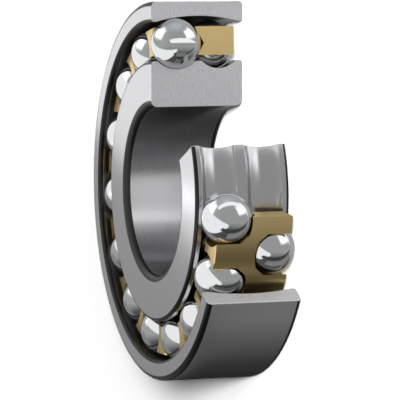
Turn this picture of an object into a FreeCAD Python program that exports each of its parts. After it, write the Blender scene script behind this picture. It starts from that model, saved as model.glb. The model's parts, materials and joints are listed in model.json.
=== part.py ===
"""A self-aligning ball bearing with two rows of balls, cut away to show its inside.

The outer ring's raceway is part of a sphere about the bearing's centre, so the inner ring, the cage
and the balls can swing in it as one. The origin is that centre, +Z is the bearing's axis towards its
front face, and +Y points at 12 o'clock, where all the cuts of the cutaway start. The cuts leave the
pieces whole anticlockwise of 12 o'clock, as seen from the front.
"""
import FreeCAD
import Part
import math
import os

# Walls and balls from the bore outwards, in millimetres: they bring the outside to 90 and the width to 23
BORE_DIAMETER = 40.0
INNER_WALL = 9.05           # inner ring, from the bore to the bottom of its grooves
BALL_DIAMETER = 11.906
RUNNING_GAP = 0.08          # between a ball and each raceway
OUTER_WALL = 3.46           # outer ring, from the middle of its raceway to its outside

# Rings
GROOVE_RATIO = 0.5165       # radius of a groove over the diameter of a ball
SHOULDER_HEIGHT = 1.83      # inner ring, from the bottom of a groove to the shoulders
SHOULDER_WIDTH = 1.65       # inner ring, from the edge of a groove to the face
LAND_WIDTH = 1.23           # outer ring, from the edge of the raceway to the face

# Radii of the rounded edges
BORE_ROUND = 1.5
SHOULDER_ROUND = 0.75
GROOVE_ROUND = 0.2
OUTSIDE_ROUND = 1.1
LAND_ROUND = 0.6

# Cage, a turned ring with a blind pocket for each ball, drilled from the face on the ball's side
CAGE_LENGTH = 18.5
CAGE_INNER_GAP = 1.37       # between the inner ring's shoulders and the cage
CAGE_OUTER_GAP = 1.4        # between the cage's outer edges and the raceway
CAGE_BEVEL = 0.2
POCKET_GAP = 0.33           # between a ball and the wall of its pocket
SEAT_GAP = 0.24             # between a ball and the drilled point under it
PRONG_WIDTH = 2.0           # least width of the prongs between two pockets of a row
WEB_THICKNESS = 0.73        # least wall between the drilled points of the two rows
POINT_ANGLE = 120.0         # of the pocket's drilled point
STEP_ANGLE = 60.0           # of the steeper cone that joins the point to the wall
POINT_RATIO = 0.796         # radius where the two cones meet, over the pocket's radius

# Cutaway, in degrees clockwise from 12 o'clock
OUTER_CUT_ANGLE = 120.0
INNER_CUT_ANGLE = 65.5
CAGE_CUT_ANGLE = 94.5

# Where each cut starts, anticlockwise from +X, and the centre and axis that everything turns about
START_ANGLE = 90.0
CENTRE = FreeCAD.Vector(0, 0, 0)
AXIS = FreeCAD.Vector(0, 0, 1)
SAME = 1e-4                 # an edge is found by its place to within this

# The balls run at the bottom of the inner ring's grooves, and as many go round as the prongs leave room for
bore_radius = BORE_DIAMETER / 2
ball_radius = BALL_DIAMETER / 2
groove_bottom = bore_radius + INNER_WALL
pitch_radius = groove_bottom + RUNNING_GAP + ball_radius
pocket_radius = ball_radius + POCKET_GAP
balls_per_row = int(2 * math.pi * pitch_radius / (2 * pocket_radius + PRONG_WIDTH))
ball_step = 360 / balls_per_row

# A pocket's point reaches between two pockets of the other row, so the web between the drilled cones
# sets how near the rows stand: half a step apart round the ring, each cone has risen by cone_rise
point_half = math.radians(POINT_ANGLE / 2)
step_half = math.radians(STEP_ANGLE / 2)
point_depth = (ball_radius + SEAT_GAP) / math.sin(point_half)
cone_rise = pitch_radius * math.sin(math.radians(ball_step / 4)) / math.tan(point_half)
row_offset = point_depth + WEB_THICKNESS / math.sin(point_half) / 2 - cone_rise

# The line from the bearing's centre through a ball's centre meets both raceways square on, so a
# groove, wider than the ball, has its centre a little further out along that line
contact_angle = math.atan2(row_offset, pitch_radius)
raceway_radius = math.hypot(pitch_radius, row_offset) + ball_radius + RUNNING_GAP
outside_radius = raceway_radius + OUTER_WALL
groove_radius = GROOVE_RATIO * BALL_DIAMETER
groove_offset = row_offset + (groove_radius - ball_radius - RUNNING_GAP) * math.sin(contact_angle)
shoulder_radius = groove_bottom + SHOULDER_HEIGHT
groove_reach = math.sqrt(groove_radius ** 2 - (groove_radius - SHOULDER_HEIGHT) ** 2)
half_width = groove_offset + groove_reach + SHOULDER_WIDTH
land_height = half_width - LAND_WIDTH
land_radius = math.sqrt(raceway_radius ** 2 - land_height ** 2)
cage_half = CAGE_LENGTH / 2
cage_inner_radius = shoulder_radius + CAGE_INNER_GAP
cage_outer_radius = math.sqrt((raceway_radius - CAGE_OUTER_GAP) ** 2 - cage_half ** 2)


def at(radius, height):
    """Point of a section, in the plane of the cuts at 12 o'clock."""
    return FreeCAD.Vector(0, radius, height)


def turned(outline, cut_angle):
    """Solid turned from a closed outline, short of the stretch that the cutaway takes."""
    section = Part.Face(Part.Wire(outline))
    return section.revolve(CENTRE, AXIS, 360 - cut_angle)


def rims(solid, radius, height):
    """The turned edges at a radius and at a distance from the mid-plane, on both sides of it."""
    found = []
    for edge in solid.Edges:
        curve = edge.Curve
        if not isinstance(curve, Part.Circle) or abs(curve.Center.x) + abs(curve.Center.y) > SAME:
            continue
        if abs(curve.Radius - radius) < SAME and abs(abs(curve.Center.z) - height) < SAME:
            found.append(edge)
    return found


def make_outer_ring():
    """Plain outside, and a spherical raceway between two narrow lands."""
    outline = [
        Part.makeLine(at(outside_radius, -half_width), at(outside_radius, half_width)),
        Part.makeLine(at(outside_radius, half_width), at(land_radius, half_width)),
        Part.makeLine(at(land_radius, half_width), at(land_radius, land_height)),
        Part.Arc(at(land_radius, land_height), at(raceway_radius, 0),
                 at(land_radius, -land_height)).toShape(),
        Part.makeLine(at(land_radius, -land_height), at(land_radius, -half_width)),
        Part.makeLine(at(land_radius, -half_width), at(outside_radius, -half_width)),
    ]
    ring = turned(outline, OUTER_CUT_ANGLE)
    ring = ring.makeFillet(OUTSIDE_ROUND, rims(ring, outside_radius, half_width))
    return ring.makeFillet(LAND_ROUND, rims(ring, land_radius, half_width))


def make_inner_ring():
    """Plain bore, and outside it two deep grooves between shoulders of one height."""
    inner_edge = groove_offset - groove_reach
    outer_edge = groove_offset + groove_reach
    outline = [
        Part.makeLine(at(bore_radius, half_width), at(bore_radius, -half_width)),
        Part.makeLine(at(bore_radius, -half_width), at(shoulder_radius, -half_width)),
        Part.makeLine(at(shoulder_radius, -half_width), at(shoulder_radius, -outer_edge)),
        Part.Arc(at(shoulder_radius, -outer_edge), at(groove_bottom, -groove_offset),
                 at(shoulder_radius, -inner_edge)).toShape(),
        Part.makeLine(at(shoulder_radius, -inner_edge), at(shoulder_radius, inner_edge)),
        Part.Arc(at(shoulder_radius, inner_edge), at(groove_bottom, groove_offset),
                 at(shoulder_radius, outer_edge)).toShape(),
        Part.makeLine(at(shoulder_radius, outer_edge), at(shoulder_radius, half_width)),
        Part.makeLine(at(shoulder_radius, half_width), at(bore_radius, half_width)),
    ]
    ring = turned(outline, INNER_CUT_ANGLE)
    ring = ring.makeFillet(BORE_ROUND, rims(ring, bore_radius, half_width))
    ring = ring.makeFillet(SHOULDER_ROUND, rims(ring, shoulder_radius, half_width))
    groove_edges = rims(ring, shoulder_radius, inner_edge) + rims(ring, shoulder_radius, outer_edge)
    return ring.makeFillet(GROOVE_ROUND, groove_edges)


def ball_places(side):
    """Centres of the balls that the cutaway leaves in a row: side is 1 for the front row, -1 for the rear.

    The front row starts in the plane of the cuts, and the rear row stands half a step further round.
    """
    places = []
    turn = 0.0 if side > 0 else ball_step / 2
    while turn <= 360 - CAGE_CUT_ANGLE:
        angle = math.radians(START_ANGLE + turn)
        places.append(FreeCAD.Vector(pitch_radius * math.cos(angle), pitch_radius * math.sin(angle),
                                     side * row_offset))
        turn += ball_step
    return places


def make_drill():
    """The space that the drilling of one pocket clears, about +Z, with the ball's centre at the origin."""
    point_radius = POINT_RATIO * pocket_radius
    step_height = -point_depth + point_radius / math.tan(point_half)
    wall_height = step_height + (pocket_radius - point_radius) / math.tan(step_half)
    mouth = cage_half + BALL_DIAMETER
    corners = [
        at(0, -point_depth),
        at(point_radius, step_height),
        at(pocket_radius, wall_height),
        at(pocket_radius, mouth),
        at(0, mouth),
        at(0, -point_depth),
    ]
    return Part.Face(Part.makePolygon(corners)).revolve(CENTRE, AXIS, 360)


def make_cage():
    """One turned ring with a row of pockets drilled from each face, staggered by half a step."""
    corners = [
        at(cage_inner_radius, -cage_half),
        at(cage_outer_radius, -cage_half),
        at(cage_outer_radius, cage_half),
        at(cage_inner_radius, cage_half),
        at(cage_inner_radius, -cage_half),
    ]
    cage = turned(Part.makePolygon(corners).Edges, CAGE_CUT_ANGLE)
    bevelled = rims(cage, cage_outer_radius, cage_half) + rims(cage, cage_inner_radius, cage_half)
    cage = cage.makeChamfer(CAGE_BEVEL, bevelled)
    drills = []
    for side in (1, -1):
        for turn in range(balls_per_row):
            drill = make_drill()
            if side < 0:
                drill.rotate(CENTRE, FreeCAD.Vector(1, 0, 0), 180)
            drill.translate(FreeCAD.Vector(pitch_radius, 0, side * row_offset))
            shift = 0.0 if side > 0 else 0.5
            drill.rotate(CENTRE, AXIS, START_ANGLE + (turn + shift) * ball_step)
            drills.append(drill)
    return cage.cut(drills)


def make_parts():
    """Every piece of the bearing, by the name of its node."""
    parts = {
        "outer_ring": make_outer_ring(),
        "inner_ring": make_inner_ring(),
        "cage": make_cage(),
    }
    for row, side in (("front", 1), ("rear", -1)):
        for number, place in enumerate(ball_places(side), start=1):
            parts[f"{row}_ball_{number:02d}"] = Part.makeSphere(ball_radius, place)
    return parts


os.makedirs("parts", exist_ok=True)
for node, shape in make_parts().items():
    shape.exportStep(f"parts/{node}.step")
print(f"bore {BORE_DIAMETER:.3f}, outside {2 * outside_radius:.3f}, width {2 * half_width:.3f}")
print(f"{balls_per_row} balls a row, circle radius {pitch_radius:.4f}, offset {row_offset:.4f}")
print(f"contact angle {math.degrees(contact_angle):.3f}, raceway radius {raceway_radius:.3f}")
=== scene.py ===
"""A cut-away self-aligning ball bearing in its real finishes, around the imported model.

The bearing lies on its back faces with +Z along its axis. The rings, the balls and the cage are made
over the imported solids, in metres, and the camera sees them from the side that was photographed.
"""
import bmesh
import bpy
import json
import math
import numpy as np
from mathutils import Matrix, Vector

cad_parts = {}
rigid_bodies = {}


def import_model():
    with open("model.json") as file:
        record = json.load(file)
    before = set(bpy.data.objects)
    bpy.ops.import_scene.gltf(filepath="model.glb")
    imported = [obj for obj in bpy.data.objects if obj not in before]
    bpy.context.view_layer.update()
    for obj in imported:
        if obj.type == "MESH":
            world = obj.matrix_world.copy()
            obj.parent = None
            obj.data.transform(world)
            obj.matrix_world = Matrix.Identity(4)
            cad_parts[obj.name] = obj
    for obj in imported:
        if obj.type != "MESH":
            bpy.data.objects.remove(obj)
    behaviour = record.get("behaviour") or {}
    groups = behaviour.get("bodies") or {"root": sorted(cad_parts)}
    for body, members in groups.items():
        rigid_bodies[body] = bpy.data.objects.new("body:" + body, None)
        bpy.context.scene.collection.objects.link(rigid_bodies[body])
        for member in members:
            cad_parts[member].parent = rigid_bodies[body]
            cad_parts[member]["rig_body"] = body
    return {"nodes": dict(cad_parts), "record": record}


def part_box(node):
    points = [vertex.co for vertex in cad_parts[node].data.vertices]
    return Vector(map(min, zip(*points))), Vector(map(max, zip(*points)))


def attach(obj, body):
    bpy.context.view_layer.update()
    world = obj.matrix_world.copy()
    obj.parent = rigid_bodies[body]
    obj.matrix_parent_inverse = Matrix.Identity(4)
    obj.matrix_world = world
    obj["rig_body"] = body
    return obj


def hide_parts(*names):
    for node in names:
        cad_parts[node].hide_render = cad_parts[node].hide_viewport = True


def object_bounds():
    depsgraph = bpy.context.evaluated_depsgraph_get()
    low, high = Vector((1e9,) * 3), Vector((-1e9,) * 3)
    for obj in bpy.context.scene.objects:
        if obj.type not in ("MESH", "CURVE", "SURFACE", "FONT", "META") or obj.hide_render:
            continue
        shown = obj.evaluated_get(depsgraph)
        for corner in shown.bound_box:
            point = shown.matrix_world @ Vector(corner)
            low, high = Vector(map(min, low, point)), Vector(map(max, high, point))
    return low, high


bl_info = {
    "name": "Self-aligning bearing finishes",
    "version": (1, 0, 0),
    "blender": (4, 5, 0),
    "location": "3D View > Sidebar > Bearing",
    "description": "Turns, grinds and polishes the pieces of a cut-away self-aligning ball bearing",
    "category": "Object",
}

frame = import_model()
CAD_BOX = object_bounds()
MM = 0.001


def linear(hex_colour):
    """Linear red, green and blue of an sRGB hex colour."""
    parts = [int(hex_colour[i:i + 2], 16) / 255 for i in (1, 3, 5)]
    return [c / 12.92 if c <= 0.04045 else ((c + 0.055) / 1.055) ** 2.4 for c in parts]


def length(name, description, millimetres):
    """A length that a user can change, given here in millimetres."""
    return bpy.props.FloatProperty(name=name, description=description, default=millimetres * MM,
                                   min=0.0, unit="LENGTH", precision=5)


def angle(name, description, degrees):
    """An angle that a user can change, given here in degrees."""
    return bpy.props.FloatProperty(name=name, description=description, unit="ROTATION",
                                   default=math.radians(degrees))


def colour(name, description, hex_colour):
    """A colour that a user can change, given here as an sRGB hex value."""
    return bpy.props.FloatVectorProperty(name=name, description=description, subtype="COLOR",
                                         default=linear(hex_colour), min=0.0, max=1.0)


def steps(name, description, count):
    """A number of faces that a user can change."""
    return bpy.props.IntProperty(name=name, description=description, default=count, min=3, max=720)


class BearingSizes(bpy.types.PropertyGroup):
    """Sections of the rings, and how finely the pieces are made."""
    raceway_radius: length("Raceway", "Radius of the outer ring's sphere, about the bearing's centre", 41.538)
    land_width: length("Land", "From the edge of the raceway to the outer ring's face", 1.23)
    land_round: length("Land round", "Radius of the outer ring's inner edges", 0.6)
    outside_round: length("Outside round", "Radius of the outer ring's outer edges", 1.1)
    bore_round: length("Bore round", "Radius of the edges of the bore", 1.5)
    groove_bottom: length("Groove bottom", "From the axis to the bottom of the grooves", 29.05)
    groove_radius: length("Groove radius", "Radius of a groove's section", 6.1495)
    groove_offset: length("Groove offset", "From the middle of the bearing to the middle of a groove", 5.4733)
    shoulder_radius: length("Shoulders", "Radius of the inner ring's shoulders", 30.88)
    shoulder_round: length("Shoulder round", "Radius of the edges of the shoulders", 0.75)
    cut_round: length("Cut round", "Radius that the edges of the rings' cuts are broken to", 0.12)
    outer_cut: angle("Outer cut", "Stretch that the cutaway takes from the outer ring", 120.0)
    cage_cut: angle("Cage cut", "Stretch that the cutaway takes from the cage", 94.5)
    inner_cut: angle("Inner cut", "Stretch that the cutaway takes from the inner ring", 65.5)
    cut_start: angle("Cut start", "Where the cuts start, anticlockwise from +X", 90.0)
    ring_steps: steps("Ring steps", "Faces round a full ring", 300)
    round_steps: steps("Round steps", "Faces across a rounded edge", 6)
    ball_steps: steps("Ball steps", "Faces round a ball", 96)


class BearingColours(bpy.types.PropertyGroup):
    """What the metals and the ground are coloured."""
    ring_steel: colour("Ring steel", "Ground faces of the rings", "#C6C6C8")
    edge_steel: colour("Edge steel", "Turned edges of the rings, dark from hardening", "#343435")
    ball_steel: colour("Ball steel", "Lapped balls", "#D6D7D8")
    brass: colour("Brass", "The cage", "#E0C68C")
    floor: colour("Floor", "The ground under the bearing", "#F2F2F2")


# Shapes

HOLD = 0.05 * MM            # strip of a flat face along its edges that keeps it flat in smooth shading
CUT_BENDS = 4               # faces across the broken edge of a cut
JOIN = 0.001 * MM           # points nearer than this become one
SHARP = math.radians(25)    # faces that meet at more than this keep a sharp edge
ON_PLANE = 0.01 * MM        # a face within this of a plane lies in it
ALIKE = 0.98                # least cosine between two directions that count as one


def arc(centre, radius, start, end, count):
    """Points of an arc in a section: the centre plus the radius times the cosine and sine of evenly
    spaced angles, in degrees."""
    turn = np.radians(np.linspace(start, end, count + 1))
    return np.column_stack((centre[0] + radius * np.cos(turn), centre[1] + radius * np.sin(turn)))


def straight(start, end):
    """A straight stretch of a section, with a point a little inside each end."""
    start, end = np.array(start), np.array(end)
    along = (end - start) / np.linalg.norm(end - start) * HOLD
    return np.array([start, start + along, end - along, end])


def section(stretches):
    """Joins stretches of (finish, points) into one closed outline, anticlockwise. Returns its points
    and, for the side that starts at each point, the side's finish."""
    points = np.concatenate([p[:-1] for _, p in stretches])
    finishes = np.concatenate([np.full(len(p) - 1, finish) for finish, p in stretches])
    return points, finishes


def inset(points, depth):
    """The outline moved inwards: each point goes against the mean of its two sides' outward normals,
    far enough for both sides to move by the depth."""
    sides = np.roll(points, -1, axis=0) - points
    normals = np.column_stack((sides[:, 1], -sides[:, 0]))
    normals /= np.linalg.norm(normals, axis=1)[:, None]
    mean = (normals + np.roll(normals, 1, axis=0)) / 2
    return points - depth * mean / (mean ** 2).sum(axis=1)[:, None]


def turned_ring(name, outline, finishes, cut, sizes):
    """A ring turned from a closed outline of (radius, height), short of the stretch that is cut out.

    A point at radius r and height z goes to (r cos a, r sin a, z), for angles a from the cut's start
    round to its end. At both cuts the outline is drawn in by w (1 - sin b) while it moves along the
    ring by w (1 - cos b), for b from 0 to a quarter turn, which rounds the edges to the radius w.
    """
    first = sizes.cut_start
    last = first + 2 * math.pi - cut
    bend = np.linspace(0, math.pi / 2, CUT_BENDS + 1)
    broken = sizes.cut_round
    depths = np.concatenate(([broken + HOLD], broken * (1 - np.sin(bend)), [0.0]))
    shifts = np.concatenate(([0.0], broken * (1 - np.cos(bend)), [broken + HOLD]))
    count = round(sizes.ring_steps * (last - first) / (2 * math.pi))
    rows = [(inset(outline, depth), first, shift) for depth, shift in zip(depths, shifts)]
    rows += [(outline, turn, 0.0) for turn in np.linspace(first, last, count + 1)[1:-1]]
    rows += [(inset(outline, depth), last, -shift) for depth, shift in zip(depths[::-1], shifts[::-1])]
    grid = []
    for points, turn, shift in rows:
        out = np.array([math.cos(turn), math.sin(turn), 0.0])
        along = np.array([-math.sin(turn), math.cos(turn), 0.0])
        grid.append(points[:, :1] * out + points[:, 1:] * np.array([0.0, 0.0, 1.0]) + shift * along)
    across = len(outline)
    j, i = np.meshgrid(np.arange(len(rows) - 1), np.arange(across), indexing="ij")
    following = (i + 1) % across
    quads = np.stack((j * across + i, (j + 1) * across + i, (j + 1) * across + following,
                      j * across + following), axis=-1)
    faces = quads.reshape(-1, 4).tolist()
    faces.append(list(range(across)))
    faces.append(list(range(across * (len(rows) - 1), across * len(rows)))[::-1])
    finish = np.tile(finishes, (len(rows) - 1, 1))
    finish[:len(depths) - 1] = CUT
    finish[1 - len(depths):] = CUT
    ring = mesh_piece(name, np.concatenate(grid), faces)
    finish = np.append(finish.ravel(), [CUT, CUT]).astype(np.int32)
    ring.data.polygons.foreach_set("material_index", finish)
    split_ends(ring.data)
    return ring


def split_ends(mesh):
    """Splits the two faces that close a ring's cuts into triangles, since their outline is hollow."""
    work = bmesh.new()
    work.from_mesh(mesh)
    bmesh.ops.triangulate(work, faces=[face for face in work.faces if len(face.verts) > 4])
    work.to_mesh(mesh)
    work.free()


def mesh_piece(name, points, faces):
    """An object at the origin with a smooth mesh of the points and faces."""
    mesh = bpy.data.meshes.new(name)
    mesh.from_pydata(points, [], faces)
    mesh.shade_smooth()
    piece = bpy.data.objects.new(name, mesh)
    bpy.context.scene.collection.objects.link(piece)
    return piece


def ball_mesh(centre, radius, count):
    """Points and faces of a sphere: (sin t cos a, sin t sin a, cos t) times the radius about its
    centre, with a round it and t from pole to pole, closed by one point at each pole."""
    rings = count // 2
    tilt = np.linspace(0, math.pi, rings + 1)[1:-1, None]
    turn = np.linspace(0, 2 * math.pi, count, endpoint=False)[None, :]
    grid = np.stack((np.sin(tilt) * np.cos(turn), np.sin(tilt) * np.sin(turn),
                     np.cos(tilt) + 0 * turn), axis=-1).reshape(-1, 3)
    points = np.concatenate((grid, [[0, 0, 1], [0, 0, -1]])) * radius + np.array(centre)
    j, i = np.meshgrid(np.arange(rings - 2), np.arange(count), indexing="ij")
    following = (i + 1) % count
    quads = np.stack((j * count + i, (j + 1) * count + i, (j + 1) * count + following,
                      j * count + following), axis=-1)
    ring = np.arange(count)
    top = np.column_stack((np.full(count, len(grid)), ring, (ring + 1) % count))
    low = (rings - 2) * count
    bottom = np.column_stack((np.full(count, len(grid) + 1), low + (ring + 1) % count, low + ring))
    return points, quads.reshape(-1, 4).tolist() + top.tolist() + bottom.tolist()


def merged_copy(node, name):
    """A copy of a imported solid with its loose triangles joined, smooth up to its sharp edges."""
    mesh = frame["nodes"][node].data.copy()
    mesh.name = name
    mesh.materials.clear()
    work = bmesh.new()
    work.from_mesh(mesh)
    bmesh.ops.remove_doubles(work, verts=work.verts, dist=JOIN)
    work.to_mesh(mesh)
    work.free()
    mesh.shade_smooth()
    mesh.set_sharp_from_angle(angle=SHARP)
    piece = bpy.data.objects.new(name, mesh)
    bpy.context.scene.collection.objects.link(piece)
    return piece


def face_values(mesh, key):
    """A vector of each face, such as its centre, as rows of an array."""
    values = np.empty(len(mesh.polygons) * 3)
    mesh.polygons.foreach_get(key, values)
    return values.reshape(-1, 3)


def mark_cuts(mesh, turns):
    """Gives the second finish to the faces that lie flat in one of the planes through the axis."""
    centres, normals = face_values(mesh, "center"), face_values(mesh, "normal")
    chosen = np.zeros(len(mesh.polygons), np.int32)
    for turn in turns:
        across = np.array([-math.sin(turn), math.cos(turn), 0.0])
        chosen[(abs(centres @ across) < ON_PLANE) & (abs(normals @ across) > ALIKE)] = 1
    mesh.polygons.foreach_set("material_index", chosen)


def round_normals(mesh):
    """Shades the turned inside and outside as true cylinders about the axis: where a face looks
    straight towards or away from the axis, the normals at its corners do too."""
    points = np.empty(len(mesh.vertices) * 3)
    mesh.vertices.foreach_get("co", points)
    corners = np.empty(len(mesh.loops), np.int32)
    mesh.loops.foreach_get("vertex_index", corners)
    counts = np.empty(len(mesh.polygons), np.int32)
    mesh.polygons.foreach_get("loop_total", counts)
    out = points.reshape(-1, 3)[corners] * (1.0, 1.0, 0.0)
    out /= np.linalg.norm(out, axis=1)[:, None]
    facing = (out * np.repeat(face_values(mesh, "normal"), counts, axis=0)).sum(axis=1)
    chosen = np.where(abs(facing) > ALIKE, np.sign(facing), 0.0)
    mesh.normals_split_custom_set((out * chosen[:, None]).tolist())


# Materials

ACROSS = 0.25               # a quarter turn: reflections stretch across the grinding lines
GRIND, GRIND_RUN = 0.2 * MM, 8 * MM         # between grinding lines, and along one
SAW, SAW_RUN = 0.22 * MM, 2 * MM            # between saw marks, and along one
LAP = 1 * MM                                # between lapping marks
SPECK = 0.3 * MM            # grit marks, drawn as coarse as the render can show
SPECK_SHARE = 0.35          # how much of a surface's marks are specks, the rest being lines
MARKS = (0.3, 0.7)          # the noise runs between these, which become its least and its most


def add_node(tree, kind, inputs=(), **settings):
    """A node with its settings, and its inputs as values or as the sockets that feed them."""
    node = tree.nodes.new(kind)
    for key, value in settings.items():
        setattr(node, key, value)
    for key, value in dict(inputs).items():
        if isinstance(value, bpy.types.NodeSocket):
            tree.links.new(value, node.inputs[key])
        else:
            node.inputs[key].default_value = value
    return node


def rgba(values):
    """A colour with full opacity."""
    return (*values, 1.0)


def from_axis(tree):
    """A point's place across the axis, its distance from the axis and its height, as three sockets."""
    place = add_node(tree, "ShaderNodeTexCoord").outputs["Object"]
    part = add_node(tree, "ShaderNodeSeparateXYZ", {0: place}).outputs
    flat = add_node(tree, "ShaderNodeCombineXYZ", {0: part[0], 1: part[1]}).outputs[0]
    radius = add_node(tree, "ShaderNodeVectorMath", {0: flat}, operation="LENGTH").outputs["Value"]
    return flat, radius, part[2]


def grinding_lines(tree):
    """Lines that run round the axis: the place across the axis over a line's length, and the radius
    plus the height over the spacing. Real lines are finer, and are drawn this coarse to show."""
    flat, radius, height = from_axis(tree)
    around = add_node(tree, "ShaderNodeVectorMath", {0: flat, "Scale": 1 / GRIND_RUN},
                      operation="SCALE").outputs[0]
    rise = add_node(tree, "ShaderNodeMath", {0: radius, 1: height}, operation="ADD").outputs[0]
    line = add_node(tree, "ShaderNodeMath", {0: rise, 1: GRIND}, operation="DIVIDE").outputs[0]
    across = add_node(tree, "ShaderNodeCombineXYZ", {2: line}).outputs[0]
    return add_node(tree, "ShaderNodeVectorMath", {0: around, 1: across}, operation="ADD").outputs[0]


def cut_lines(tree):
    """Lines that run out from the axis over a cut face: the radius over a line's length, and the
    height over the spacing. Real saw marks are finer, and are drawn this coarse to show."""
    _, radius, height = from_axis(tree)
    along = add_node(tree, "ShaderNodeMath", {0: radius, 1: SAW_RUN}, operation="DIVIDE").outputs[0]
    across = add_node(tree, "ShaderNodeMath", {0: height, 1: SAW}, operation="DIVIDE").outputs[0]
    return add_node(tree, "ShaderNodeCombineXYZ", {0: along, 1: across}).outputs[0]


def lapping_marks(tree):
    """Faint marks in every direction. Real ones are finer, and are drawn this coarse to show."""
    place = add_node(tree, "ShaderNodeTexCoord").outputs["Object"]
    return add_node(tree, "ShaderNodeVectorMath", {0: place, "Scale": 1 / LAP},
                    operation="SCALE").outputs[0]


def round_tangent(tree):
    """The direction round the axis at each point, in the world's directions."""
    place = add_node(tree, "ShaderNodeTexCoord").outputs["Object"]
    crossed = add_node(tree, "ShaderNodeVectorMath", {0: (0.0, 0.0, 1.0), 1: place},
                       operation="CROSS_PRODUCT").outputs[0]
    turned = add_node(tree, "ShaderNodeVectorTransform", {0: crossed}, vector_type="VECTOR",
                      convert_from="OBJECT", convert_to="WORLD").outputs[0]
    return add_node(tree, "ShaderNodeVectorMath", {0: turned}, operation="NORMALIZE").outputs[0]


FINISHES = {
    # Bearing steel faces, ground and tumbled: a satin sheen with fine grit marks
    "ground_steel": dict(colour="ring_steel", rough=0.2, lines=grinding_lines, spread=0.04,
                         depth=0.0004 * MM, tone=0.03),
    # Bearing steel outside, ground round the axis: every reflection is drawn out across the fine lines
    "turned_ground_steel": dict(colour="ring_steel", rough=0.35, lines=grinding_lines, spread=0.04,
                                tone=0.04, stretch=1.0, turn=ACROSS),
    # Bearing steel bore, ground round the axis: bands of light drawn out across the fine lines. Drawn
    # darker than the outside, as the photo shows it, because less of the studio's light reaches into it
    "bore_steel": dict(colour="ring_steel", shade=0.65, rough=0.3, lines=grinding_lines,
                             spread=0.04, tone=0.06, stretch=1.0, turn=ACROSS),
    # Bearing steel grooves, honed after grinding: streaks of light along the groove
    "honed_steel": dict(colour="ring_steel", rough=0.17, lines=grinding_lines, spread=0.03, tone=0.02,
                        stretch=0.7),
    # Bearing steel raceway, honed: a softer shine than the faces have. Drawn darker than they are, as
    # the photo shows it: painted shade, because it faces the pieces inside and little light reaches it
    "raceway_steel": dict(colour="ring_steel", shade=0.5, rough=0.32, lines=grinding_lines,
                                spread=0.03, depth=0.0003 * MM, tone=0.02),
    # Bearing steel, turned and then hardened: a thin dark scale stays where no wheel reaches
    "hardened_edge": dict(colour="edge_steel", rough=0.36, lines=grinding_lines, spread=0.05,
                          depth=0.0008 * MM, tone=0.1),
    # Bearing steel, sawn and milled flat: a dull grey, half matt, with short streaks out from the axis
    "cut_steel": dict(colour="ring_steel", shade=0.92, rough=0.55, lines=cut_lines, spread=0.06,
                      depth=0.001 * MM, tone=0.2, bare=0.55),
    # Bearing steel balls, lapped between plates: a mirror with the faintest marks
    "lapped_steel": dict(colour="ball_steel", rough=0.1, lines=lapping_marks, spread=0.015, tone=0.015),
    # Brass, turned and drilled from solid: warm yellow, satin from fine tool marks
    "machined_brass": dict(colour="brass", rough=0.3, lines=grinding_lines, spread=0.02, tone=0.02),
    # Brass, sawn and milled flat: a satin yellow with short streaks out from the axis
    "cut_brass": dict(colour="brass", rough=0.5, lines=cut_lines, spread=0.04, depth=0.0004 * MM,
                      tone=0.08, bare=0.95),
}
RING_FINISHES = ("ground_steel", "turned_ground_steel", "bore_steel", "honed_steel",
                 "raceway_steel", "hardened_edge", "cut_steel")
FACE, OUTSIDE, BORE, GROOVE, RACEWAY, EDGE, CUT = range(len(RING_FINISHES))


def metal(name, base, rough, lines, spread, tone, depth=0.0, stretch=0.0, turn=0.0, bare=1.0):
    """A metal, bare or partly matt. Its lines and specks vary the roughness by the spread, the colour
    by the tone and the height by the depth. Its reflections are stretched along the direction round
    the axis, or turned from it."""
    material = bpy.data.materials.new(name)
    material.use_nodes = True
    tree = material.node_tree
    shader = tree.nodes["Principled BSDF"]
    shader.inputs["Metallic"].default_value = bare
    streaks = add_node(tree, "ShaderNodeTexNoise", {"Vector": lines(tree), "Scale": 1.0, "Detail": 3.0,
                                                    "Roughness": 0.6}).outputs["Fac"]
    place = add_node(tree, "ShaderNodeTexCoord").outputs["Object"]
    specks = add_node(tree, "ShaderNodeTexNoise", {"Vector": place, "Scale": 1 / SPECK,
                                                   "Detail": 1.0}).outputs["Fac"]
    marks = add_node(tree, "ShaderNodeMix", {0: SPECK_SHARE, 2: streaks, 3: specks}).outputs[0]
    low, high = MARKS
    share = add_node(tree, "ShaderNodeMapRange", {0: marks, 1: low, 2: high}).outputs[0]
    rougher = add_node(tree, "ShaderNodeMapRange",
                       {0: share, 3: rough - spread, 4: rough + spread}).outputs[0]
    dark = [c * (1 - tone) for c in base]
    light = [min(c * (1 + tone), 1.0) for c in base]
    mixed = add_node(tree, "ShaderNodeMix", {0: share, 6: rgba(dark), 7: rgba(light)},
                     data_type="RGBA").outputs[2]
    tree.links.new(rougher, shader.inputs["Roughness"])
    tree.links.new(mixed, shader.inputs["Base Color"])
    if depth:
        bump = add_node(tree, "ShaderNodeBump", {"Height": marks, "Distance": depth, "Strength": 1.0})
        tree.links.new(bump.outputs[0], shader.inputs["Normal"])
    if stretch:
        shader.inputs["Anisotropic"].default_value = stretch
        shader.inputs["Anisotropic Rotation"].default_value = turn
        tree.links.new(round_tangent(tree), shader.inputs["Tangent"])
    return material


def dress(piece, context, *names):
    """Gives the piece its finishes, in the order of its material slots, and makes those that are new.
    A finish's colour is one of the user's, times its shade: painted shade for the bore and the
    raceway, a darker tone of the steel for the cut faces."""
    for name in names:
        settings = dict(FINISHES[name])
        written = getattr(context.scene.bearing_colours, settings.pop("colour"))
        shade = settings.pop("shade", 1.0)
        base = [c * shade for c in written]
        piece.data.materials.append(bpy.data.materials.get(name) or metal(name, base, **settings))


# Operators

def bore_radius():
    """The bore mount's radius."""
    for mount in frame["record"]["mounts"]:
        if mount["name"] == "bore":
            return mount["dims"]["r_mm"] * MM
    raise RuntimeError("the record has no mount named bore")


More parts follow.
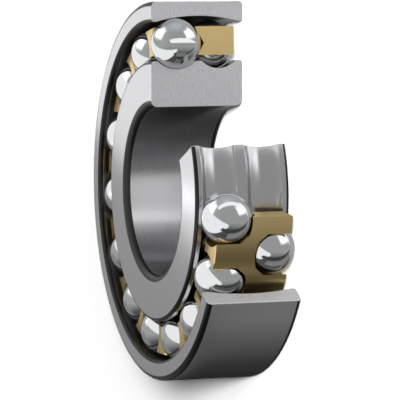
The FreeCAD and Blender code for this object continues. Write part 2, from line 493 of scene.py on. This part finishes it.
class BEARING_OT_outer_ring(bpy.types.Operator):
    """Make the outer ring, with its spherical raceway"""
    bl_idname = "bearing.outer_ring"
    bl_label = "Outer ring"

    def execute(self, context):
        sizes = context.scene.bearing_sizes
        low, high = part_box("outer_ring")
        outside, half = -low.x, high.z
        edge, lip = sizes.outside_round, sizes.land_round
        track = sizes.raceway_radius
        reach = half - sizes.land_width
        land = math.sqrt(track ** 2 - reach ** 2)
        sweep = math.degrees(math.asin(reach / track))
        n = sizes.round_steps
        outline, finishes = section([
            (OUTSIDE, straight((outside, edge - half), (outside, half - edge))),
            (EDGE, arc((outside - edge, half - edge), edge, 0, 90, n)),
            (FACE, straight((outside - edge, half), (land + lip, half))),
            (EDGE, arc((land + lip, half - lip), lip, 90, 180, n)),
            (EDGE, straight((land, half - lip), (land, reach))),
            (RACEWAY, arc((0, 0), track, sweep, -sweep, 8 * n)),
            (EDGE, straight((land, -reach), (land, lip - half))),
            (EDGE, arc((land + lip, lip - half), lip, 180, 270, n)),
            (FACE, straight((land + lip, -half), (outside - edge, -half))),
            (EDGE, arc((outside - edge, edge - half), edge, 270, 360, n)),
        ])
        ring = turned_ring("outer_ring_finished", outline, finishes, sizes.outer_cut, sizes)
        dress(ring, context, *RING_FINISHES)
        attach(ring, "outer_ring")
        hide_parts("outer_ring")
        return {"FINISHED"}


class BEARING_OT_inner_ring(bpy.types.Operator):
    """Make the inner ring, with its bore and its two grooves"""
    bl_idname = "bearing.inner_ring"
    bl_label = "Inner ring"

    def execute(self, context):
        sizes = context.scene.bearing_sizes
        bore = bore_radius()
        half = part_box("inner_ring")[1].z
        edge, lip = sizes.bore_round, sizes.shoulder_round
        shoulder, groove, middle = sizes.shoulder_radius, sizes.groove_radius, sizes.groove_offset
        rise = groove - (shoulder - sizes.groove_bottom)
        reach = math.sqrt(groove ** 2 - rise ** 2)
        axis = sizes.groove_bottom + groove
        side = math.degrees(math.acos(rise / groove))
        n = sizes.round_steps
        outline, finishes = section([
            (BORE, straight((bore, half - edge), (bore, edge - half))),
            (EDGE, arc((bore + edge, edge - half), edge, 180, 270, n)),
            (FACE, straight((bore + edge, -half), (shoulder - lip, -half))),
            (EDGE, arc((shoulder - lip, lip - half), lip, 270, 360, n)),
            (GROOVE, straight((shoulder, lip - half), (shoulder, -middle - reach))),
            (GROOVE, arc((axis, -middle), groove, 180 + side, 180 - side, 6 * n)),
            (GROOVE, straight((shoulder, reach - middle), (shoulder, middle - reach))),
            (GROOVE, arc((axis, middle), groove, 180 + side, 180 - side, 6 * n)),
            (GROOVE, straight((shoulder, middle + reach), (shoulder, half - lip))),
            (EDGE, arc((shoulder - lip, half - lip), lip, 0, 90, n)),
            (FACE, straight((shoulder - lip, half), (bore + edge, half))),
            (EDGE, arc((bore + edge, half - edge), edge, 90, 180, n)),
        ])
        ring = turned_ring("inner_ring_finished", outline, finishes, sizes.inner_cut, sizes)
        dress(ring, context, *RING_FINISHES)
        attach(ring, "inner_ring")
        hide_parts("inner_ring")
        return {"FINISHED"}


class BEARING_OT_balls(bpy.types.Operator):
    """Make every ball that the cutaway leaves, each on the body of its own"""
    bl_idname = "bearing.balls"
    bl_label = "Balls"

    def execute(self, context):
        sizes = context.scene.bearing_sizes
        for node in sorted(frame["nodes"]):
            if "_ball_" not in node:
                continue
            low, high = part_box(node)
            points, faces = ball_mesh((low + high) / 2, (high - low).z / 2, sizes.ball_steps)
            ball = mesh_piece(node + "_lapped", points, faces)
            dress(ball, context, "lapped_steel")
            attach(ball, frame["nodes"][node]["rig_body"])
            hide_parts(node)
        return {"FINISHED"}


class BEARING_OT_cage(bpy.types.Operator):
    """Finish the cage, with its turned faces shaded as true rounds and its cuts as flat ones"""
    bl_idname = "bearing.cage"
    bl_label = "Cage"

    def execute(self, context):
        sizes = context.scene.bearing_sizes
        cage = merged_copy("cage", "cage_machined")
        dress(cage, context, "machined_brass", "cut_brass")
        mark_cuts(cage.data, (sizes.cut_start, sizes.cut_start - sizes.cage_cut))
        round_normals(cage.data)
        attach(cage, "cage")
        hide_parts("cage")
        return {"FINISHED"}


# Stage

VIEW_YAW, VIEW_PITCH, VIEW_ROLL = 20.04, 5.02, -0.064
VIEW_PLACE = (-0.691 * MM, 2.351 * MM, -760.95 * MM)     # of the bearing's centre, in the camera's frame
VIEW_LENS = 287.0           # millimetres
VIEW_CLIP = (0.01, 50.0)    # metres, as the floor's size
FLOOR_SIZE = 6.0
FLOOR_TO_CAMERA = 2.85      # the lamps graze the floor, so the camera sees it this much paler: white
SKY_LEVELS = (0.0, 0.03)    # soft light from below and from above
SKY_HEIGHTS = (-0.3, 0.9)   # sines of the elevations that it grows between
LIT_LEVEL = 1.7             # of the windows
SHADE_LEVEL = 0.3           # of the dark corner behind the bearing
FACING_SHARE = 0.88         # of the walls on the camera's side, against the others

# A direction's azimuth is 0 degrees at +X, on the camera's side, and 90 at -Z, behind the back faces.
# Its elevation is 90 at +Y. The walls that the metals mirror have these colours at these elevations.
WALLS = ((-90.0, "#484848"), (-45.0, "#606060"), (-12.6, "#B8B8B8"), (54.0, "#BABABA"), (90.0, "#CCD4DC"))

# Azimuths, elevations and softness of the windows, of a dark corner and of the camera's side
WINDOWS = (((-150.0, -90.0), (15.0, 53.0), 7.0), ((37.0, 94.0), (18.0, 52.0), 7.0))
DARK_CORNER = ((-220.0, -135.0), (-100.0, -8.0), 6.0)
FACING_SIDE = ((-60.0, 80.0), (-60.0, 62.0), 20.0)

# Name, where it shines from, how wide its disc looks in degrees, and its strength
SUNS = (
    ("near_lamp", (0.9, 0.2, 0.39), 10.0, 2.1),
    ("soft_lamp", (0.88, 0.29, 0.4), 24.0, 1.05),
)

# A small lamp that only the outer ring's lower cut faces
CUT_LAMP_PLACE = Vector((90, -10, -30)) * MM
CUT_LAMP_AIM = Vector((37.5, -21.6, 2)) * MM
CUT_LAMP = {"energy": 0.12, "spot_size": math.radians(45), "spot_blend": 0.6, "shadow_soft_size": 12 * MM}

# Cards that the metals mirror: corners in millimetres, and one strength, or pairs of a place along X
# and the strength there
CARDS = {
    # A long soft box on the left, in the front faces and the left of each ball
    "front_card": (((-150, 86, 21), (-150, 36, 21), (400, -214, 85), (400, -138, 85)), 1.18),
    # A brighter patch in the inner ring's front face
    "front_glint": (((-46, 1, 32), (-46, -5.5, 32), (-24, -10.5, 34), (-24, -4, 34)), 2.0),
    # A narrow bar high on the camera's side, the curved streak in each ball
    "top_bar": (((57, 39.6, 53), (43, 54.3, 53), (43, 54.3, -500), (57, 39.6, -500)), 1.3),
    # A grey plate behind the back faces, which the pieces inside mirror
    "rear_card": (((-12, -8, -14), (20, -8, -14), (20, 11, -14), (-12, 11, -14)), 0.38),
    # The ground that the bearing would stand on, with a painted shadow: dark under it, lighter further out
    "table": (((-25, -46, 10), (62, -46, 10), (62, -46, -140), (61, -46, -140)),
              ((8, 0.03), (18, 0.06), (31, 0.2), (40, 0.3), (62, 0.26))),
    # The table's near edge, the dark streak under the bar's in each ball
    "table_edge": (((62, -46, 70), (86, -46, 70), (86, -46, -400), (62, -46, -400)), 0.06),
}
# These shine to the side that their corners go round anticlockwise on, and are clear from the other
ONE_SIDED_CARDS = {
    # Two bands on the axis, that light the bore's far side
    "bore_band_low": (((-4, -2.75, -11), (-4, -2.75, 11), (-4, 2.9, 11), (-4, 2.9, -11)), 1.55),
    "bore_band_high": (((-4, 2.9, -11), (-4, 2.9, 11), (-4, 6.5, 11), (-4, 6.5, -11)), 2.3),
    # A dark sheet of painted shade on the outer ring's lower cut: the cage above mirrors it and stays dark
    "cut_shade": (((35.8, -20.3, -11.5), (35.8, -20.3, 11.5), (39.3, -22.3, 11.5), (39.3, -22.3, -11.5)),
                  0.12),
}


def stage_plane(name, corners):
    """A flat plane of the stage with four corners."""
    mesh = bpy.data.meshes.new(name)
    mesh.from_pydata(corners, [], [(0, 1, 2, 3)])
    plane = bpy.data.objects.new(name, mesh)
    bpy.context.scene.collection.objects.link(plane)
    return plane


def ramp(tree, value, stops):
    """Colours that follow a value: the stops are pairs of a value and the colour there."""
    low, high = stops[0][0], stops[-1][0]
    share = add_node(tree, "ShaderNodeMapRange", {0: value, 1: low, 2: high}).outputs[0]
    node = add_node(tree, "ShaderNodeValToRGB", {0: share})
    elements = node.color_ramp.elements
    while len(elements) < len(stops):
        elements.new(1.0)
    for element, (place, shade) in zip(elements, stops):
        element.position = (place - low) / (high - low)
        element.color = rgba(shade)
    return node.outputs[0]


def mirror_card(name, corners, level, one_sided):
    """A lit card that only the metals mirror: it lights and hides nothing else."""
    card = stage_plane(name, [Vector(corner) * MM for corner in corners])
    card.visible_camera = card.visible_diffuse = card.visible_shadow = card.visible_transmission = False
    material = bpy.data.materials.new(name)
    material.use_nodes = True
    tree = material.node_tree
    tree.nodes.clear()
    if not isinstance(level, float):
        place = add_node(tree, "ShaderNodeTexCoord").outputs["Object"]
        along = add_node(tree, "ShaderNodeSeparateXYZ", {0: place}).outputs[0]
        level = ramp(tree, along, [(x * MM, (strength,) * 3) for x, strength in level])
    surface = add_node(tree, "ShaderNodeEmission", {"Strength": level}).outputs[0]
    if one_sided:
        behind = add_node(tree, "ShaderNodeNewGeometry").outputs["Backfacing"]
        clear = add_node(tree, "ShaderNodeBsdfTransparent").outputs[0]
        surface = add_node(tree, "ShaderNodeMixShader", {0: behind, 1: surface, 2: clear}).outputs[0]
    add_node(tree, "ShaderNodeOutputMaterial", {"Surface": surface})
    card.data.materials.append(material)


def window(tree, azimuth, elevation, sides, heights, blur):
    """How much of a soft-edged window a direction looks into, from 0 to 1."""
    edges = []
    for value, (low, high) in ((azimuth, sides), (elevation, heights)):
        for outer, inner in ((low - blur, low + blur), (high + blur, high - blur)):
            edges.append(add_node(tree, "ShaderNodeMapRange", {0: value, 1: outer, 2: inner},
                                  interpolation_type="SMOOTHSTEP").outputs[0])
    share = edges[0]
    for edge in edges[1:]:
        share = add_node(tree, "ShaderNodeMath", {0: share, 1: edge}, operation="MULTIPLY").outputs[0]
    return share


def set_camera(context):
    """The camera: +Z points left in its picture and +Y up, then it is turned by yaw, pitch and roll."""
    upright = Matrix(((0, 0, -1), (0, 1, 0), (1, 0, 0)))
    roll, pitch, yaw = (Matrix.Rotation(math.radians(degrees), 3, axis)
                        for degrees, axis in ((VIEW_ROLL, "Z"), (VIEW_PITCH, "X"), (VIEW_YAW, "Y")))
    turn = (roll @ pitch @ yaw @ upright).transposed()
    camera = bpy.data.objects.new("camera", bpy.data.cameras.new("camera"))
    camera.data.lens = VIEW_LENS
    camera.data.clip_start, camera.data.clip_end = VIEW_CLIP
    camera.matrix_world = Matrix.Translation(-(turn @ Vector(VIEW_PLACE))) @ turn.to_4x4()
    context.scene.collection.objects.link(camera)
    context.scene.camera = camera


def set_floor(context):
    """A matt paper floor under the back faces, white to the camera but for the bearing's shadow."""
    level, half = CAD_BOX[0].z, FLOOR_SIZE / 2
    floor = stage_plane("floor", [(-half, -half, level), (half, -half, level), (half, half, level),
                                  (-half, half, level)])
    floor.visible_glossy = floor.visible_shadow = False
    material = bpy.data.materials.new("matt_paper")
    material.use_nodes = True
    tree = material.node_tree
    tree.nodes.clear()
    seen = add_node(tree, "ShaderNodeLightPath").outputs["Is Camera Ray"]
    gain = add_node(tree, "ShaderNodeMapRange", {0: seen, 3: 1.0, 4: FLOOR_TO_CAMERA}).outputs[0]
    shade = add_node(tree, "ShaderNodeVectorMath", {0: context.scene.bearing_colours.floor, "Scale": gain},
                     operation="SCALE").outputs[0]
    paper = add_node(tree, "ShaderNodeBsdfDiffuse", {"Color": shade})
    add_node(tree, "ShaderNodeOutputMaterial", {"Surface": paper.outputs[0]})
    floor.data.materials.append(material)


def set_world(context):
    """White for the camera, dim and soft for the lit faces, and for the metals a grey studio with two
    windows, a dark corner and walls that darken downwards and on the camera's side."""
    world = bpy.data.worlds.new("studio")
    world.use_nodes = True
    context.scene.world = world
    tree = world.node_tree
    tree.nodes.clear()
    way = add_node(tree, "ShaderNodeTexCoord").outputs["Generated"]
    part = add_node(tree, "ShaderNodeSeparateXYZ", {0: way}).outputs
    height = add_node(tree, "ShaderNodeMath", {0: part[1]}, operation="ARCSINE").outputs[0]
    elevation = add_node(tree, "ShaderNodeMath", {0: height}, operation="DEGREES").outputs[0]
    back = add_node(tree, "ShaderNodeMath", {0: 0.0, 1: part[2]}, operation="SUBTRACT").outputs[0]
    turn = add_node(tree, "ShaderNodeMath", {0: back, 1: part[0]}, operation="ARCTAN2").outputs[0]
    azimuth = add_node(tree, "ShaderNodeMath", {0: turn}, operation="DEGREES").outputs[0]
    walls = ramp(tree, elevation, [(place, linear(shade)) for place, shade in WALLS])
    corner = window(tree, azimuth, elevation, *DARK_CORNER)
    shaded = add_node(tree, "ShaderNodeMix", {0: corner, 6: walls, 7: rgba((SHADE_LEVEL,) * 3)},
                      data_type="RGBA").outputs[2]
    facing = window(tree, azimuth, elevation, *FACING_SIDE)
    share = add_node(tree, "ShaderNodeMapRange", {0: facing, 3: 1.0, 4: FACING_SHARE}).outputs[0]
    dimmed = add_node(tree, "ShaderNodeVectorMath", {0: shaded, "Scale": share},
                      operation="SCALE").outputs[0]
    first, second = (window(tree, azimuth, elevation, *sides) for sides in WINDOWS)
    lit = add_node(tree, "ShaderNodeMath", {0: first, 1: second}, operation="ADD").outputs[0]
    mirrored = add_node(tree, "ShaderNodeMix", {0: lit, 6: dimmed, 7: rgba((LIT_LEVEL,) * 3)},
                        data_type="RGBA").outputs[2]
    path = add_node(tree, "ShaderNodeLightPath").outputs
    (bottom, top), (low, high) = SKY_HEIGHTS, SKY_LEVELS
    sky = add_node(tree, "ShaderNodeMapRange", {0: part[1], 1: bottom, 2: top, 3: low, 4: high}).outputs[0]
    plain = add_node(tree, "ShaderNodeMix", {0: path["Is Camera Ray"], 2: sky, 3: 1.0}).outputs[0]
    seen = add_node(tree, "ShaderNodeMix", {0: path["Is Glossy Ray"], 6: plain, 7: mirrored},
                    data_type="RGBA").outputs[2]
    light = add_node(tree, "ShaderNodeBackground", {"Color": seen, "Strength": 1.0})
    add_node(tree, "ShaderNodeOutputWorld", {"Surface": light.outputs[0]})


def add_lamp(context, name, kind, way, **settings):
    """A lamp that shines against a direction, and that the metals don't mirror."""
    lamp = bpy.data.objects.new(name, bpy.data.lights.new(name, kind))
    for key, value in settings.items():
        setattr(lamp.data, key, value)
    lamp.visible_glossy = lamp.visible_camera = False
    lamp.rotation_mode = "QUATERNION"
    lamp.rotation_quaternion = Vector(way).to_track_quat("Z", "Y")
    context.scene.collection.objects.link(lamp)
    return lamp


def set_lights(context):
    """Two soft lamps from beside the camera, a small one at the lower cut, and the cards."""
    for name, way, width, strength in SUNS:
        add_lamp(context, name, "SUN", way, angle=math.radians(width), energy=strength)
    lamp = add_lamp(context, "cut_lamp", "SPOT", CUT_LAMP_PLACE - CUT_LAMP_AIM, **CUT_LAMP)
    lamp.location = CUT_LAMP_PLACE
    for name, (corners, level) in CARDS.items():
        mirror_card(name, corners, level, one_sided=False)
    for name, (corners, level) in ONE_SIDED_CARDS.items():
        mirror_card(name, corners, level, one_sided=True)


class BEARING_OT_stage(bpy.types.Operator):
    """Set the camera, the floor, the light and what the metals mirror"""
    bl_idname = "bearing.stage"
    bl_label = "Stage"

    def execute(self, context):
        set_camera(context)
        set_floor(context)
        set_world(context)
        set_lights(context)
        context.scene.view_settings.view_transform = "Standard"
        return {"FINISHED"}


# Panel

OPERATORS = (BEARING_OT_outer_ring, BEARING_OT_inner_ring, BEARING_OT_balls, BEARING_OT_cage,
             BEARING_OT_stage)


class BEARING_PT_panel(bpy.types.Panel):
    """The pieces of the bearing, its sizes and its colours"""
    bl_idname = "BEARING_PT_panel"
    bl_label = "Bearing"
    bl_space_type = "VIEW_3D"
    bl_region_type = "UI"
    bl_category = "Bearing"

    def draw(self, context):
        for operator in OPERATORS:
            self.layout.operator(operator.bl_idname)
        for group in (context.scene.bearing_sizes, context.scene.bearing_colours):
            box = self.layout.box()
            for key in group.bl_rna.properties.keys():
                if key not in ("rna_type", "name"):
                    box.prop(group, key)


CLASSES = (BearingSizes, BearingColours, *OPERATORS, BEARING_PT_panel)


def register():
    """Adds the operators and the panel, and the sizes and colours of each scene."""
    for cls in CLASSES:
        bpy.utils.register_class(cls)
    bpy.types.Scene.bearing_sizes = bpy.props.PointerProperty(type=BearingSizes)
    bpy.types.Scene.bearing_colours = bpy.props.PointerProperty(type=BearingColours)


def unregister():
    """Takes away what register adds."""
    del bpy.types.Scene.bearing_sizes
    del bpy.types.Scene.bearing_colours
    for cls in reversed(CLASSES):
        bpy.utils.unregister_class(cls)


def main():
    """Makes every piece and the stage."""
    register()
    bpy.ops.bearing.outer_ring()
    bpy.ops.bearing.inner_ring()
    bpy.ops.bearing.balls()
    bpy.ops.bearing.cage()
    bpy.ops.bearing.stage()


if __name__ == "__main__":
    main()
